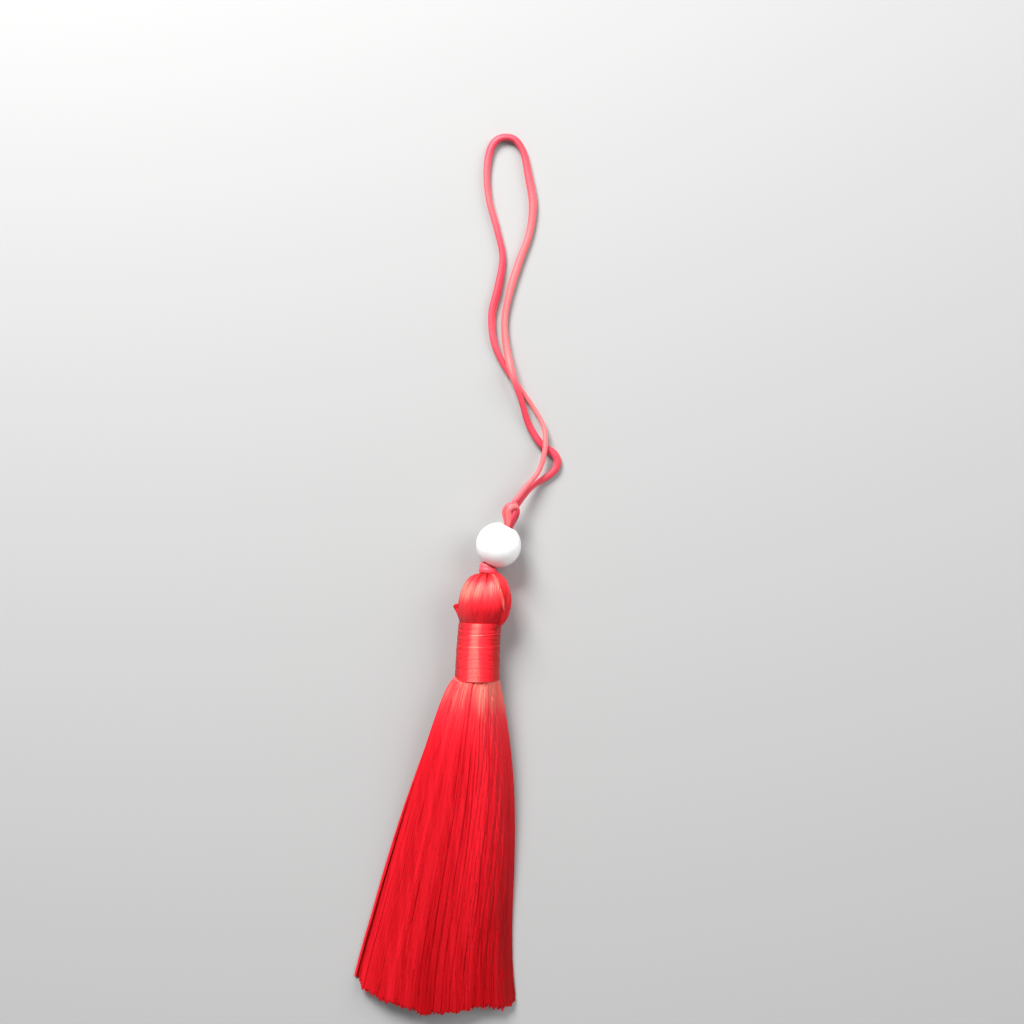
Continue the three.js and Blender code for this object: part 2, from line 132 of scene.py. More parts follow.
KNOT_STRANDS = np.array([  # the knot's four turns of cord, each from the bead up and round
    [(6.5, 26.9, 4.7), (6.4, 28.1, 5.3), (5.95, 29.5, 5.7), (5.8, 30.9, 5.9),
     (6.45, 32.0, 6.1), (7.4, 32.35, 6.0), (8.2, 32.1, 5.2), (8.5, 31.4, 4.2)],
    [(6.7, 26.9, 5.3), (6.8, 28.3, 6.0), (6.8, 29.6, 6.5), (6.65, 30.8, 6.8),
     (7.1, 31.6, 6.9), (7.8, 31.9, 6.4), (8.3, 31.6, 5.4), (8.4, 30.9, 4.4)],
    [(6.8, 26.9, 4.8), (7.5, 28.2, 5.1), (8.15, 29.4, 5.4), (8.55, 30.6, 5.5),
     (8.4, 31.5, 5.3), (7.7, 32.0, 4.6), (6.9, 31.9, 3.8), (6.2, 31.0, 3.3)],
    [(6.75, 26.9, 5.2), (7.25, 28.3, 6.0), (7.7, 29.5, 6.4), (7.85, 30.5, 6.3),
     (7.5, 31.2, 6.0), (6.9, 31.5, 5.1), (6.2, 31.1, 4.5), (6.0, 30.1, 4.2)],
])
HANK_LINE = {  # the hank's centre line: how far it leans and how high it lies along it
    "y": [-82, -6.4, 6.6, 9.5, 12, 18],
    "x": [-0.4, -0.29, 0.44, 1.1, 1.38, 1.95],
    "z": [4.45, 4.45, 4.45, 5.1, 5.35, 5],
}
HEAD_OUTLINE = {  # the gathered head, from the dimple under the tie down into the binding
    "y": [16.95, 17.1, 16.9, 16.3, 15.2, 13.8, 12.1, 10.4, 8.9, 7.8, 7.0, 6.3],
    "radius": [0, 1.3, 2.6, 3.65, 4.55, 5.15, 5.5, 5.6, 5.4, 5.1, 4.8, 4.45],
}
FAN = {  # the skirt's left and right edges along its length
    "y": [-82, -78.3, -70.7, -62, -48.8, -35.5, -25.6, -15, -10.2, -7.1, -5.6],
    "left": [-29.2, -28.2, -26.3, -23.8, -20.1, -16.2, -13.2, -9.75, -7.95, -6.4, -5.2],
    "right": [8.4, 8.1, 7.45, 7.35, 7.8, 7.9, 7.35, 6.1, 5.35, 4.75, 4.4],
}
CUT_LINE = {  # where the threads are cut, from the left edge (-1) to the right edge (1)
    "across": [-1, -0.9, -0.55, -0.1, 0.1, 0.6, 1],
    "y": [-75.6, -76.6, -78.2, -80.6, -80.4, -79.5, -80.6],
}
THREAD_ROWS = {  # rows of locks at the cut end, from the table up
    "width": [1, 0.99, 0.95, 0.86, 0.7, 0.46],
    "shorter": [2.4, 1.4, 0.7, 0.3, 0, 0],
}
SKIRT_TOP = {  # the height of the skirt's ridge along its length
    "y": [-82, -78, -60, -42, -28, -18, -13, -10, -7.5, -5.6],
    "z": [4.45, 4.6, 5.3, 6.6, 8.1, 9.2, 9.5, 9.45, 9.15, 8.6],
}
STRAY_LOCK = np.array([
    (-4.2, -6.6, 3.4),
    (-9.0, -15, 2.2),
    (-13.1, -25.6, 1.2),
    (-16.6, -35.5, 0.5),
    (-20.8, -48.8, 0.3),
    (-23.7, -58.8, 0.3),
    (-26.35, -67.9, 0.3),
    (-27.9, -73.7, 0.3),
])
STRAY_SHADE = np.array([0.8, -0.4, -0.12])  # from the stray lock to the low threads beside it
SHOULDER_FOLD = np.array([  # the fold of silk on the head's right side, over the binding's edge
    (3.0, 17.0, 5.6),
    (4.2, 16.0, 6.6),
    (5.3, 14.0, 7.2),
    (5.75, 11.6, 7.2),
    (5.6, 9.2, 6.9),
    (5.2, 7.4, 6.6),
    (4.6, 6.3, 6.3),
])
TWISTED_LOCK = np.array([  # the thin twisted lock where the fold meets the rest of the head
    (3.1, 17.1, 6.8),
    (3.9, 15.9, 8.75),
    (4.5, 14.2, 9.7),
    (5.0, 12.6, 9.95),
    (5.45, 11.0, 9.7),
    (5.6, 9.4, 9.0),
])
TUFT_EDGES = np.array([  # where the tuft's outer and inner threads start, bend and end
    [(-4.3, 7.5, 4.9), (-3.6, 7.6, 5.0)],
    [(-4.75, 8.6, 5.1), (-4.0, 9.0, 5.3)],
    [(-5.4, 10.0, 5.3), (-4.2, 10.5, 5.6)],
])


# Shapes


def chords(points):
    """The distance from each point of a path to the next."""
    return np.linalg.norm(np.diff(points, axis=-2), axis=-1)


def totals(steps):
    """Running totals of steps along their last axis, from 0."""
    start = np.zeros(steps.shape[:-1] + (1,))
    return np.concatenate([start, np.cumsum(steps, axis=-1)], axis=-1)


def lengths_along(paths):
    """The length from each path's start to each of its points."""
    return totals(chords(paths))


def between(start, end, share):
    """The value at a share of the way from a start to an end."""
    return start * (1 - share) + end * share


def smooth_between(at, places, values, weighed=False):
    """A smooth curve through a table's values: each stretch is a cubic that leaves and enters its
    rows at the mean slope of the stretches beside them. That mean may be weighed, each stretch by
    the other's length.
    """
    places, values = np.asarray(places, float), np.asarray(values, float)
    at = np.clip(at, places[0], places[-1])
    steps = np.diff(places)
    slopes = np.diff(values) / steps
    before, after = (steps[:-1], steps[1:]) if weighed else (1, 1)
    inner = (slopes[:-1] * after + slopes[1:] * before) / (before + after)
    bends = np.concatenate([slopes[:1], inner, slopes[-1:]])
    row = np.clip(np.searchsorted(places, at, side="right") - 1, 0, len(steps) - 1)
    step = steps[row]
    part = (at - places[row]) / step
    start = (1 + 2 * part) * (1 - part) ** 2 * values[row]
    start += part * (1 - part) ** 2 * step * bends[row]
    end = part**2 * (3 - 2 * part) * values[row + 1]
    end -= part**2 * (1 - part) * step * bends[row + 1]
    return start + end


def smooth_through(points, count):
    """Evenly spaced points on a curve through the given ones. The curve is followed by the square
    root of its chords, so it swings wide at no point, and is then spaced again by its length.
    """
    points = np.asarray(points, float)
    places = totals(np.sqrt(chords(points)))
    fine = np.linspace(0, places[-1], count * 6)
    curve = np.stack([smooth_between(fine, places, line, True) for line in points.T], axis=1)
    length = lengths_along(curve)
    even = np.linspace(0, length[-1], count)
    return np.stack([np.interp(even, length, line) for line in curve.T], axis=1)


def unit(vectors):
    """Each vector, shortened or stretched to length 1."""
    return vectors / np.maximum(np.linalg.norm(vectors, axis=-1, keepdims=True), 1e-12)


def frames_along(paths, hint):
    """The sideways and upward directions at each point of each path. Up is the hint less its part
    along the path, and sideways is square to both.
    """
    ahead = unit(np.gradient(paths, axis=-2))
    hint = np.broadcast_to(hint, paths.shape)
    up = unit(hint - np.sum(hint * ahead, axis=-1, keepdims=True) * ahead)
    return np.cross(up, ahead), up


def turned(across, rise, angle):
    """Places across and up from a middle, turned about it by an angle."""
    cos, sin = np.cos(angle), np.sin(angle)
    return across * cos - rise * sin, across * sin + rise * cos


def rings_along(paths, hint, wide, high, sides, twist=0.0):
    """Points of tubes: at each point of each path an ellipse of the given half width and half
    height stands square to the path, turned about it by twist. The sizes may change over the ring.
    """
    side, up = frames_along(paths, hint)
    around = np.arange(sides) / sides * FULL_TURN
    wide, high = (np.broadcast_to(size, paths.shape[:2] + (sides,)) for size in (wide, high))
    twist = np.broadcast_to(twist, paths.shape[:2])[..., None]
    across, rise = turned(wide * np.cos(around), high * np.sin(around), twist)
    return (
        paths[:, :, None, :]
        + across[..., None] * side[:, :, None, :]
        + rise[..., None] * up[:, :, None, :]
    )


def face_corners(rows, sides):
    """The row, and the place round the row, of the four corners of each face between rows."""
    row, side = np.meshgrid(np.arange(rows), np.arange(sides), indexing="ij")
    return (
        np.stack([row, row, row + 1, row + 1], axis=-1).reshape(-1, 4),
        np.stack([side, side + 1, side + 1, side], axis=-1).reshape(-1, 4),
    )


def tube_grid(lengths, sides):
    """The faces of closed tubes, from the length to each ring of each tube, and a UV place for each
    of their corners. The walls come first, then the flat faces that close the ends. Once round a
    tube is 1 across, and up is the length in millimetres. The closing faces take one place.
    """
    tubes, stations = lengths.shape
    row, side = face_corners(stations - 1, sides)
    starts = (np.arange(tubes) * stations * sides)[:, None, None]
    walls = row * sides + side % sides + starts
    first = np.arange(sides)[::-1]
    last = np.arange(sides) + (stations - 1) * sides
    ends = np.stack([first, last]) + starts
    along = lengths[:, row] / MM
    places = np.stack([np.broadcast_to(side / sides, along.shape), along], axis=-1)
    corner_map = np.concatenate([places.reshape(-1, 2), np.tile([0.5, 0], (ends.size, 1))])
    return [walls.reshape(-1, 4), ends.reshape(-1, sides)], corner_map


def shares_along(stations):
    """Shares of a thread's length for its stations. They are even, but for a very short last step,
    which keeps the shade of the flat cut end off the thread's sides.
    """
    return np.append(np.linspace(0, 0.999, stations - 1), 1)


def new_piece(name, points, face_sets, corner_map, material, tones=None):
    """A mesh object at the origin, from points, sets of faces with like numbers of corners, a UV
    place for each corner and a tone for each point, riding on the part's one body. The first set
    is smooth, and the others, which close ends, are flat.
    """
    mesh = bpy.data.meshes.new(name)
    counts = np.concatenate([np.full(len(faces), faces.shape[1]) for faces in face_sets])
    corners = np.concatenate([faces.ravel() for faces in face_sets])
    mesh.vertices.add(len(points))
    mesh.vertices.foreach_set("co", np.ascontiguousarray(points, np.float32).ravel())
    mesh.loops.add(len(corners))
    mesh.loops.foreach_set("vertex_index", corners.astype(np.int32))
    mesh.polygons.add(len(counts))
    starts = np.cumsum(counts) - counts
    mesh.polygons.foreach_set("loop_start", starts.astype(np.int32))
    mesh.polygons.foreach_set("loop_total", counts.astype(np.int32))
    mesh.polygons.foreach_set("use_smooth", np.arange(len(counts)) < len(face_sets[0]))
    layer = mesh.uv_layers.new(name="Thread map")
    layer.data.foreach_set("uv", np.ascontiguousarray(corner_map, np.float32).ravel())
    if tones is not None:
        tone = mesh.attributes.new("tone", "FLOAT", "POINT")
        tone.data.foreach_set("value", np.ascontiguousarray(tones, np.float32).ravel())
    mesh.update(calc_edges=True)
    mesh.validate()
    piece = bpy.data.objects.new(name, mesh)
    bpy.context.scene.collection.objects.link(piece)
    mesh.materials.append(material)
    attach(piece, "root")
    return piece


def tubes_piece(name, paths, rings, material, tones):
    """A piece of closed tubes from their ring points, with the map that runs along them."""
    faces, corner_map = tube_grid(lengths_along(paths), rings.shape[2])
    tones = np.broadcast_to(tones.reshape(len(paths), -1, 1), rings.shape[:3])
    return new_piece(name, rings.reshape(-1, 3), faces, corner_map, material, tones)


def hank_line(y):
    """The centre line of the hank at heights y, as its x and z."""
    return [smooth_between(y / MM, HANK_LINE["y"], HANK_LINE[axis]) * MM for axis in "xz"]


def about_hank(y, radius, angle, lowest):
    """Points at a radius and an angle about the hank's line. They stay at the lowest height where
    they would go under it.
    """
    x, z = hank_line(y)
    height = np.maximum(z + radius * np.sin(angle), lowest)
    return np.stack([x + radius * np.cos(angle), y, height], axis=-1)


def out_of_hank(points):
    """The way to each point from the hank's line, at the same y."""
    x, z = hank_line(points[..., 1])
    return points - np.stack([x, points[..., 1], z], axis=-1)


def sunflower(count):
    """Points spread evenly over a disc of radius 1: each a golden turn on from the last, its radius
    the square root of its share of the count.
    """
    number = np.arange(count)
    radius = np.sqrt((number + 0.5) / count)
    return radius * np.cos(number * GOLDEN_TURN), radius * np.sin(number * GOLDEN_TURN)


# Materials


def fill(tree, node, inputs):
    """Sets inputs of a shader node to values, or links them to other nodes' sockets."""
    for name, value in dict(inputs).items():
        if isinstance(value, bpy.types.NodeSocket):
            tree.links.new(value, node.inputs[name])
        else:
            node.inputs[name].default_value = value


def add_node(tree, kind, inputs=(), **options):
    """A new shader node of that kind, with its options and its inputs."""
    node = tree.nodes.new("ShaderNode" + kind)
    for name, value in options.items():
        setattr(node, name, value)
    fill(tree, node, inputs)
    return node


def add_group(tree, name, make, inputs=()):
    """A node that holds the shader group of that name, which is made the first time."""
    group = bpy.data.node_groups.get(name) or make()
    return add_node(tree, "Group", inputs, node_tree=group)


def new_group(name, inputs, outputs):
    """An empty shader node group with the named inputs, each with its default, and outputs."""
    group = bpy.data.node_groups.new(name, "ShaderNodeTree")
    for label, default in inputs.items():
        socket = group.interface.new_socket(label, in_out="INPUT", socket_type="NodeSocketFloat")
        socket.default_value = default
    for label in outputs:
        group.interface.new_socket(label, in_out="OUTPUT", socket_type="NodeSocketFloat")
    return group, group.nodes.new("NodeGroupInput"), group.nodes.new("NodeGroupOutput")


def fibre_group():
    """Fine streaks that run along the threads, from a noise that is squeezed across them, and a
    broad soft mottle. Both come out as values.
    """
    group, start, end = new_group(
        "Silk fibres", {"Streak scale": 900.0, "Stretch": 0.04, "Mottle scale": 160.0},
        ["Streaks", "Mottle"],
    )
    place = add_node(group, "TexCoord").outputs["Object"]
    squeeze = add_node(group, "CombineXYZ", {0: 1.0, 1: start.outputs["Stretch"], 2: 1.0})
    scaled = add_node(
        group, "VectorMath", {0: place, 1: squeeze.outputs[0]}, operation="MULTIPLY"
    )
    for label, scale, vector, detail in (
        ("Streaks", "Streak scale", scaled.outputs[0], 3.0),
        ("Mottle", "Mottle scale", place, 2.0),
    ):
        noise = add_node(
            group, "TexNoise",
            {"Detail": detail, "Vector": vector, "Scale": start.outputs[scale]},
        )
        fill(group, end, {label: noise.outputs[0]})
    return group


def weave_group():
    """The fine ribs of a woven satin cord: waves that climb round it, from its own map. Height is
    0 in the grooves and 1 on the ribs.
    """
    group, start, end = new_group("Cord ribs", {"Ribs per mm": 2.6, "Climb": 3.0}, ["Height"])
    place = add_node(group, "UVMap", uv_map="Thread map")
    split = add_node(group, "SeparateXYZ", {0: place.outputs[0]})

    def maths(operation, *values):
        return add_node(group, "Math", enumerate(values), operation=operation).outputs[0]

    climb = maths("MULTIPLY", split.outputs[0], start.outputs["Climb"])
    along = maths("MULTIPLY", split.outputs[1], start.outputs["Ribs per mm"])
    wave = maths("SINE", maths("MULTIPLY", maths("ADD", climb, along), FULL_TURN))
    fill(group, end, {"Height": maths("MULTIPLY_ADD", wave, 0.5, 0.5)})
    return group


def new_material(name, roughness, specular, sheen=0.0):
    """A material with a Principled surface, with its node tree and surface node."""
    material = bpy.data.materials.new(name)
    material.use_nodes = True
    tree = material.node_tree
    surface = tree.nodes["Principled BSDF"]
    fill(tree, surface, {
        "Roughness": roughness, "Specular IOR Level": specular,
        "Sheen Weight": sheen, "Sheen Roughness": 0.4,
    })
    return material, tree, surface


def own_tone(tree):
    """The tone that each point of a piece carries."""
    return add_node(tree, "Attribute", attribute_name="tone").outputs["Fac"]


def mix(tree, first, second, share):
    """The mean of two values, with that share of the second."""
    return add_node(tree, "Mix", {"Factor": share, "A": first, "B": second}).outputs["Result"]


def colour_ramp(tree, value, stops):
    """The colour for a value on a ramp with the given places and colours."""
    ramp = add_node(tree, "ValToRGB", {"Fac": value})
    points = ramp.color_ramp.elements
    for index, (place, colour) in enumerate(stops):
        point = points[index] if index < 2 else points.new(place)
        point.position = place
        point.color = (*colour, 1.0)
    return ramp.outputs["Color"]


def varied(tree, mottle, low, high):
    """A roughness that follows a mottle between two values."""
    varying = add_node(tree, "MapRange", {"To Min": low, "To Max": high, "Value": mottle})
    return varying.outputs["Result"]


def embossed(tree, height, strength, distance):
    """A surface direction that a height tilts a little."""
    bump = add_node(tree, "Bump", {"Strength": strength, "Distance": distance, "Height": height})
    return bump.outputs["Normal"]


def silk(name, settings, roughness, shine, streak_share=0.25):
    """Dyed silk: each thread has its own tone on a ramp from the shadow colour, which is painted
    shade, through the deep, mid and light colours to the pale one, which is painted sheen, with
    fibre streaks along it, a roughness that follows their mottle and a faint bump. Shine is its
    IOR.
    """
    material, tree, surface = new_material(name, roughness, 1.0)
    fibres = add_group(tree, "Silk fibres", fibre_group).outputs
    toned = mix(tree, own_tone(tree), fibres["Streaks"], streak_share)
    # The shadow stop is painted shade and the pale stop is painted sheen.
    stops = (
        (0.0, settings.shadow), (1.0, settings.pale), (0.3, settings.deep), (0.55, settings.mid),
        (0.78, settings.light),
    )
    fill(tree, surface, {
        "IOR": shine,
        "Specular Tint": (1.0, 0.70, 0.58, 1.0),
        "Base Color": colour_ramp(tree, toned, stops),
        "Roughness": varied(tree, fibres["Mottle"], roughness - 0.07, roughness + 0.09),
        "Normal": embossed(tree, fibres["Streaks"], 0.15, 0.04 * MM),
    })
    return material


def loop_satin(settings):
    """The satin of the loop, the knot and the tie, made the first time: woven ribs drawn lighter as
    a painted highlight, deeper red in the grooves between them as painted shade, and each place's
    own tone.
    """
    found = bpy.data.materials.get("Satin cord")
    if found:
        return found
    material, tree, surface = new_material("Satin cord", settings.roughness, 0.6, sheen=0.3)
    ribs = add_group(tree, "Cord ribs", weave_group, {"Ribs per mm": settings.ribs_per_mm})
    height = ribs.outputs["Height"]
    mottle = add_group(tree, "Silk fibres", fibre_group).outputs["Mottle"]
    toned = mix(tree, mix(tree, height, mottle, 0.4), own_tone(tree), 0.62)
    stops = ((0.15, settings.deep), (0.9, settings.light), (0.5, settings.mid))
    fill(tree, surface, {
        "Base Color": colour_ramp(tree, toned, stops),
        "Normal": embossed(tree, height, 0.3, 0.04 * MM),
    })
    return material


def bead_material(settings):
    """White glaze: a near-even white with a faint warm mottle, and a gloss that varies a little."""
    gloss = settings.roughness
    material, tree, surface = new_material("Bead glaze", gloss, 0.5)
    mottle = add_group(tree, "Silk fibres", fibre_group, {"Mottle scale": 420.0}).outputs["Mottle"]
    fill(tree, surface, {
        "Coat Weight": 0.4,
        "Coat Roughness": 0.12,
        "Base Color": colour_ramp(tree, mottle, [(0.3, settings.shade), (0.7, settings.colour)]),
        "Roughness": varied(tree, mottle, gloss - 0.05, gloss + 0.07),
        "Normal": embossed(tree, mottle, 0.08, 0.05 * MM),
    })
    return material


# Settings


def colour_setting(name, description, default):
    """A colour that a user may change."""
    return FloatVectorProperty(
        name=name, description=description, subtype="COLOR", size=3, min=0, max=1, default=default
    )


def length_setting(name, description, default):
    """A length that a user may change, in metres."""
    return FloatProperty(
        name=name, description=description, unit="LENGTH", min=0, precision=5, default=default
    )


def roughness_setting(description, default):
    """How dull a material is, from 0 to 1."""
    return FloatProperty(
        name="Roughness", description=description, default=default, min=0.05, max=0.9
    )


def count_setting(name, description, default, least, most):
    """A number of threads that a user may change."""
    return IntProperty(name=name, description=description, default=default, min=least, max=most)


class SilkSettings(bpy.types.PropertyGroup):
    """Sizes and colours of the silk threads."""

    threads_per_lock: count_setting("Threads in a lock", "In each lock of the skirt", 16, 4, 30)
    top_threads: count_setting("Top threads", "Those combed over the skirt", 800, 100, 900)
    head_threads: count_setting("Head threads", "Those over the gathered head", 560, 100, 900)
    thread: length_setting("Thread", "Radius of a thread at its cut end", 0.000098)
    packed_thread: length_setting("Packed thread", "Radius of a thread inside the neck", 0.000066)
    winding: length_setting("Winding", "Pitch of the thread wound round the neck", 0.00027)
    roughness: roughness_setting("How dull the silk is", 0.35)
    # Painted shade: the ramp's darkest stop, the colour of threads that lie hidden in shade.
    shadow: colour_setting("Shadow red", "Colour of threads that lie hidden", (0.16, 0.001, 0.003))
    deep: colour_setting("Deep red", "Colour of the darkest threads", (0.50, 0.003, 0.007))
    mid: colour_setting("Red", "Colour of most threads", (0.89, 0.014, 0.028))
    light: colour_setting("Light red", "Colour of the lighter threads", (1.0, 0.042, 0.060))
    # Painted sheen: the ramp's palest stop, a salmon highlight drawn into the colour where the silk
    # catches the light, on the head, the neck and the skirt below it.
    pale: colour_setting("Pale red", "Colour where the threads are drawn tight", (1.0, 0.25, 0.19))


class CordSettings(bpy.types.PropertyGroup):
    """Sizes and colours of the satin cord."""

    flatness: FloatProperty(
        name="Flatness", description="Thickness over width", default=0.82, min=0.4, max=1
    )
    ribs_per_mm: FloatProperty(
        name="Ribs in a millimetre", description="Woven ribs along the cord", default=3.0, min=0.5
    )
    roughness: roughness_setting("How dull the satin is", 0.5)
    # Painted shade: the deeper red drawn into the grooves between the ribs.
    deep: colour_setting("Groove red", "Colour between the ribs", (0.60, 0.024, 0.055))
    mid: colour_setting("Cord red", "Colour of most of the cord", (0.86, 0.072, 0.11))
    # Painted highlight: the salmon drawn onto the ribs where they catch the light.
    light: colour_setting("Rib red", "Colour on the ribs", (0.97, 0.22, 0.205))


class BeadSettings(bpy.types.PropertyGroup):
    """Sizes and colours of the bead."""

    diameter: length_setting("Diameter", "Width of the bead", float(BEAD_HIGH[2] - BEAD_LOW[2]))
    length: length_setting("Length", "From mouth to mouth of the hole", 0.0092)
    bore: length_setting("Bore", "Width of the hole", 0.0032)
    roughness: roughness_setting("How dull the glaze is", 0.3)
    colour: colour_setting("White", "Colour of the glaze", (0.95, 0.95, 0.945))
    shade: colour_setting("Shade", "Its faint mottle", (0.90, 0.895, 0.885))


class StageSettings(bpy.types.PropertyGroup):
    """The floor, lights and camera."""

    camera_height: length_setting("Camera height", "Camera above the floor", 0.26)
    lens: FloatProperty(name="Lens", description="Focal length in millimetres", default=40.6)
    floor: colour_setting("Floor", "Colour of the floor", (0.45, 0.45, 0.445))


# Pieces


class TASSEL_OT_stage(bpy.types.Operator):
    """Sets the camera over the tassel, a pale floor and soft studio light"""

    bl_idname = "tassel.stage"
    bl_label = "Stage"

    def execute(self, context):
        settings = context.scene.tassel_stage
        scene = context.scene
        scene.view_settings.view_transform = "Standard"
        camera = bpy.data.objects.new("Camera", bpy.data.cameras.new("Camera"))
        camera.data.lens = settings.lens
        camera.data.clip_start = 0.01
        camera.location = (7.4 * MM, 30.7 * MM, settings.camera_height)
        scene.collection.objects.link(camera)
        scene.camera = camera
        self.lay_floor(scene, settings)
        self.hang_light(scene, "Key", (-0.18, 0.46, 0.38), 0.28, 6.2)
        self.hang_light(scene, "Fill", (0.60, 0.34, 0.50), 0.60, 4.8, shines=False)
        self.hang_light(scene, "Front", (-0.10, -0.75, 0.36), 0.60, 1.7, shines=False)
        world = bpy.data.worlds.new("Studio")
        world.use_nodes = True
        background = world.node_tree.nodes["Background"]
        fill(world.node_tree, background, {"Color": (0.9, 0.93, 1, 1), "Strength": 0.16})
        scene.world = world
        return {"FINISHED"}

    def lay_floor(self, scene, settings):
        """A wide flat sheet at the height that the tassel rests on."""
        half = 1.6
        mesh = bpy.data.meshes.new("Floor")
        corners = [(-half, -half, 0), (half, -half, 0), (half, half, 0), (-half, half, 0)]
        mesh.from_pydata(corners, [], [(0, 1, 2, 3)])
        floor = bpy.data.objects.new("Floor", mesh)
        scene.collection.objects.link(floor)
        material, tree, surface = new_material("Floor paper", 0.75, 0.2)
        fill(tree, surface, {"Base Color": (*settings.floor, 1)})
        mesh.materials.append(material)

    def hang_light(self, scene, name, place, size, power, shines=True):
        """A square soft light that faces the middle of the tassel. One that doesn't shine leaves
        no highlights.
        """
        lamp = bpy.data.lights.new(name, "AREA")
        lamp.size = size
        lamp.energy = power
        light = bpy.data.objects.new(name, lamp)
        light.location = place
        light.visible_glossy = shines
        light.rotation_euler = Vector(-np.array(place)).to_track_quat("-Z", "Y").to_euler()
        scene.collection.objects.link(light)


class TASSEL_OT_loop(bpy.types.Operator):
    """Lays the hanging loop of satin cord"""

    bl_idname = "tassel.loop"
    bl_label = "Hanging loop"

    def execute(self, context):
        settings = context.scene.tassel_cord
        path = smooth_through(CORD_ROUTE, 1500)
        length = lengths_along(path)
        half = smooth_between(length / MM, CORD_WIDTHS["along"], CORD_WIDTHS["half"]) * MM
        twist = 0.5 * np.sin(length / (11 * MM)) + 0.35 * np.sin(length / (4.7 * MM) + 1)
        # Painted sheen and shade: the cord's tone along its length, lighter where it catches the
        # light and darker where it turns from it.
        tones = smooth_between(length / MM, CORD_PAINTED_LIGHT["along"], CORD_PAINTED_LIGHT["tone"])
        loop = cord_piece(
            "satin_loop", path[None], UP, half, half * settings.flatness, 20, tones, settings, twist
        )
        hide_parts("loop_cord")
        return {"FINISHED"}


def cord_piece(name, paths, hints, wide, high, sides, tones, settings, twist=0.0):
    """A piece of satin cord along the paths. Its section is an ellipse of the given half width and
    half height that swells and thins a little, with ribs that climb round it as low waves, and it
    is pressed flat just above the table.
    """
    length = lengths_along(paths)[0]
    around = np.arange(sides) / sides
    swell = 1 + 0.05 * np.sin(length / (2.9 * MM)) + 0.04 * np.sin(length / (7.3 * MM) + 2)
    ribs = 0.014 * MM * np.sin(FULL_TURN * (2.4 * length[:, None] / MM + 3 * around))
    wide, high = ((size * swell)[:, None] + ribs for size in (wide, high))
    rings = rings_along(paths, hints, wide, high, sides, twist)
    rings[..., 2] = np.maximum(rings[..., 2], 0.02 * MM)
    return tubes_piece(name, paths, rings, loop_satin(settings), tones)


class TASSEL_OT_knot(bpy.types.Operator):
    """Ties the overhand knot in the doubled cord above the bead"""

    bl_idname = "tassel.knot"
    bl_label = "Upper knot"

    def execute(self, context):
        stations = 180
        across = unit(np.cross(UP, KNOT_AXIS))
        strands = [smooth_through(route * MM, stations) for route in KNOT_STRANDS]
        hints = [strand - KNOT_CENTRE for strand in strands]
        for lane, outlet, after in ((-1, *CORD_ROUTE[[-1, -2]]), (1, *CORD_ROUTE[:2])):
            aside = across * lane * 0.5 * MM
            inward = unit(outlet - after)
            run = [
                BEAD_CENTRE + BEAD_AXIS * 3.4 * MM + aside,
                BEAD_CENTRE + BEAD_AXIS * 5.0 * MM + aside,
                KNOT_CENTRE + aside,
                outlet + inward * 0.5 * MM,
                outlet - inward * 0.4 * MM,
            ]
            strands.append(smooth_through(run, stations))
            hints.append(np.broadcast_to(UP, (stations, 3)))
        # Painted light: the two left strands are drawn light as a painted highlight, and the two
        # strands of the right lobe, which pass under, are drawn dark as painted shade.
        tones = np.repeat([0.65, 0.9, -0.1, 0.0, 0.65, 0.55], stations)
        knot = cord_piece(
            "knotted_cord", np.array(strands), np.array(hints), 0.6 * MM, 0.55 * MM, 18, tones,
            context.scene.tassel_cord,
        )
        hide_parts("upper_knot")
        return {"FINISHED"}


class TASSEL_OT_bead(bpy.types.Operator):
    """Turns the white bead with its drilled hole"""

    bl_idname = "tassel.bead"
    bl_label = "Bead"

    def execute(self, context):
        settings = context.scene.tassel_bead
        radius, half = settings.diameter / 2, settings.length / 2
        flat = math.acos(half / radius)
        arc = np.linspace(math.pi - flat, flat, 70)
        outline = [np.stack([np.sin(arc) * radius, np.cos(arc) * radius], axis=1)]
        lip = 0.25 * MM
        turn = np.linspace(0, math.pi / 2, 8)[1:]
        inset, drop = lip * (1 - np.sin(turn)), lip * (1 - np.cos(turn))
        for sign in (1, -1):
            edge = np.stack([settings.bore / 2 + inset, sign * (half - drop)], axis=1)
            outline.append(edge[::sign])
        outline = np.concatenate(outline)
        rows, sides = len(outline), 112
        around = np.arange(sides)[:, None] / sides * FULL_TURN
        spoke = np.cos(around) * np.cross(BEAD_AXIS, UP) + np.sin(around) * UP
        points = BEAD_CENTRE + outline[:, None, :1] * spoke + outline[:, None, 1:] * BEAD_AXIS
        row, side = face_corners(rows, sides)
        faces = row % rows * sides + side % sides
        places = np.stack([side / sides, row / rows], axis=-1).reshape(-1, 2)
        bead = new_piece(
            "glazed_bead", points.reshape(-1, 3), [faces], places, bead_material(settings)
        )
        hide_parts("bead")
        return {"FINISHED"}


